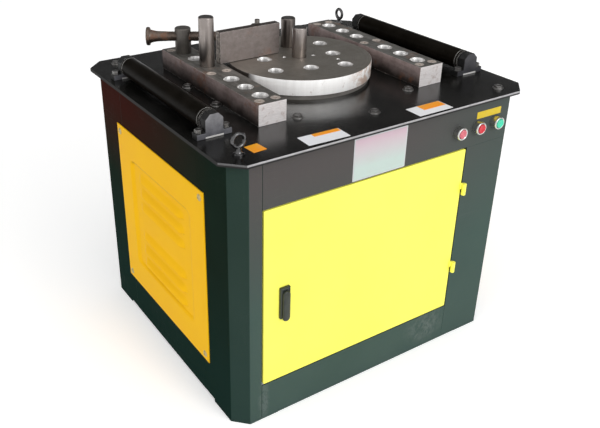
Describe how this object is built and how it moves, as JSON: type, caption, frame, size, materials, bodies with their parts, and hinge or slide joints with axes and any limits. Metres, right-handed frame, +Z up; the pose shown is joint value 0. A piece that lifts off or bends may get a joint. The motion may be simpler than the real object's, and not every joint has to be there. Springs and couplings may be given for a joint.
{
  "type": "bar bending machine",
  "caption": "Floor-standing steel bar bender: sheet cabinet with door and vents, table with turning pin disc, hole bars, stop plate and rollers.",
  "frame": {"origin": "middle of the cabinet's footprint on the floor", "axes": "+X to the right seen from the door side, +Y towards the back, +Z up"},
  "size_m": [0.83, 0.74, 0.836],
  "materials": {
    "table_black": "satin",
    "cabinet_paint": "gloss",
    "frame_paint": "satin",
    "door_yellow": "gloss",
    "cover_yellow": "gloss",
    "raw_steel": "machined",
    "plate_steel": "mill scale",
    "screw_steel": "rusted thread",
    "zinc": "plated",
    "bracket_grey": "painted",
    "roller_black": "satin",
    "latch_black": "satin",
    "red_plastic": "gloss",
    "green_plastic": "gloss",
    "contact_grey": "matt",
    "gear_cast": "painted",
    "wheel_bronze": "machined",
    "shaft_steel": "ground",
    "pulley_cast": "machined",
    "belt_rubber": "matt",
    "motor_grey": "painted",
    "box_grey": "powder"
  },
  "bodies": {
    "cabinet": {"table_plate": "table_black", "post_front_left": "cabinet_paint", "post_front_right": "cabinet_paint", "back_posts": "cabinet_paint", "front_top_rail": "cabinet_paint", "front_bottom_rail": "cabinet_paint", "side_rails": "cabinet_paint", "back_panel": "cabinet_paint", "base_beams": "frame_paint", "feet": "frame_paint", "left_cover": "cover_yellow", "right_cover": "cover_yellow", "cover_screws": "zinc", "hinge_posts": "door_yellow", "button_collars": "zinc", "lamp_lens": "red_plastic", "contact_blocks": "contact_grey", "table_bolts": "zinc", "eye_bolts": "zinc", "bar_left": "raw_steel", "bar_right": "raw_steel", "bar_screws": "zinc", "roller_brackets": "bracket_grey", "bracket_bolts": "zinc", "dust_ring": "table_black", "screw_post": "screw_steel", "gearbox_cover": "gear_cast", "gearbox_housing": "gear_cast", "bearings": "shaft_steel", "drive_belts": "belt_rubber", "motor_frame": "motor_grey", "motor_shields": "motor_grey", "fan_cover": "motor_grey", "terminal_box": "motor_grey", "motor_rails": "frame_paint", "control_box": "box_grey", "control_lid": "box_grey", "cable_gland": "latch_black"},
    "door": {"door": "door_yellow", "door_hinges": "door_yellow", "latch_base": "latch_black"},
    "latch": {"latch_lever": "latch_black", "latch_cam": "zinc"},
    "stop_button": {"stop_button": "red_plastic"},
    "start_button": {"start_button": "green_plastic"},
    "disc": {"working_disc": "raw_steel", "main_shaft": "shaft_steel", "worm_wheel": "wheel_bronze"},
    "centre_pin": {"centre_pin": "raw_steel"},
    "bending_pin": {"bending_pin": "raw_steel"},
    "stop_pin": {"stop_pin": "raw_steel"},
    "roller_left": {"roller_left": "roller_black"},
    "roller_right": {"roller_right": "roller_black"},
    "stop": {"stop_plate": "plate_steel", "swivel_block": "screw_steel"},
    "screw": {"adjusting_screw": "screw_steel"},
    "worm": {"worm_shaft": "shaft_steel", "driven_pulley": "pulley_cast"},
    "motor": {"motor_rotor": "shaft_steel", "motor_pulley": "pulley_cast"}
  },
  "joints": [
    {"name": "disc_spin", "type": "hinge", "parent": "cabinet", "child": "disc", "pos_m": [0, 0.004, 0.7195], "axis": [0, 0, 1], "range_deg": [-180, 0]},
    {"name": "worm_spin", "type": "hinge", "parent": "cabinet", "child": "worm", "pos_m": [0, 0.1552, 0.53], "axis": [1, 0, 0], "range_deg": [-8640, 0]},
    {"name": "motor_spin", "type": "hinge", "parent": "cabinet", "child": "motor", "pos_m": [0, -0.04, 0.167], "axis": [1, 0, 0], "range_deg": [-25920, 0]},
    {"name": "roller_left_spin", "type": "hinge", "parent": "cabinet", "child": "roller_left", "pos_m": [-0.36, 0.004, 0.701], "axis": [0, 1, 0], "continuous": true},
    {"name": "roller_right_spin", "type": "hinge", "parent": "cabinet", "child": "roller_right", "pos_m": [0.36, 0.004, 0.701], "axis": [0, 1, 0], "continuous": true},
    {"name": "door_swing", "type": "hinge", "parent": "cabinet", "child": "door", "pos_m": [0.2365, -0.357, 0.337], "axis": [0, 0, 1], "range_deg": [0, 110]},
    {"name": "latch_turn", "type": "hinge", "parent": "door", "child": "latch", "pos_m": [-0.275, -0.35, 0.338], "axis": [0, 1, 0], "range_deg": [0, 90]},
    {"name": "stop_press", "type": "slide", "parent": "cabinet", "child": "stop_button", "axis": [0, 1, 0], "range_m": [0, 0.004], "stiffness_N_per_m": 600, "springref_m": -0.002},
    {"name": "start_press", "type": "slide", "parent": "cabinet", "child": "start_button", "axis": [0, 1, 0], "range_m": [0, 0.004], "stiffness_N_per_m": 600, "springref_m": -0.002},
    {"name": "centre_pin_lift", "type": "slide", "parent": "disc", "child": "centre_pin", "axis": [0, 0, 1], "range_m": [0, 0.034]},
    {"name": "bending_pin_lift", "type": "slide", "parent": "disc", "child": "bending_pin", "axis": [0, 0, 1], "range_m": [0, 0.03]},
    {"name": "stop_pin_lift", "type": "slide", "parent": "cabinet", "child": "stop_pin", "axis": [0, 0, 1], "range_m": [0, 0.045]},
    {"name": "stop_feed", "type": "slide", "parent": "cabinet", "child": "stop", "axis": [0.8478, -0.5302, 0], "range_m": [-0.009, 0.009]},
    {"name": "screw_turn", "type": "hinge", "parent": "stop", "child": "screw", "pos_m": [-0.07, 0.084, 0.76], "axis": [0.8478, -0.5302, 0], "range_deg": [-1080.5, 1080.5]}
  ],
  "couplings": [
    {"joint": "worm_spin", "follows": "disc_spin", "ratio": 48},
    {"joint": "motor_spin", "follows": "disc_spin", "ratio": 144},
    {"joint": "screw_turn", "follows": "stop_feed", "rad_per_m": 2094.4}
  ]
}
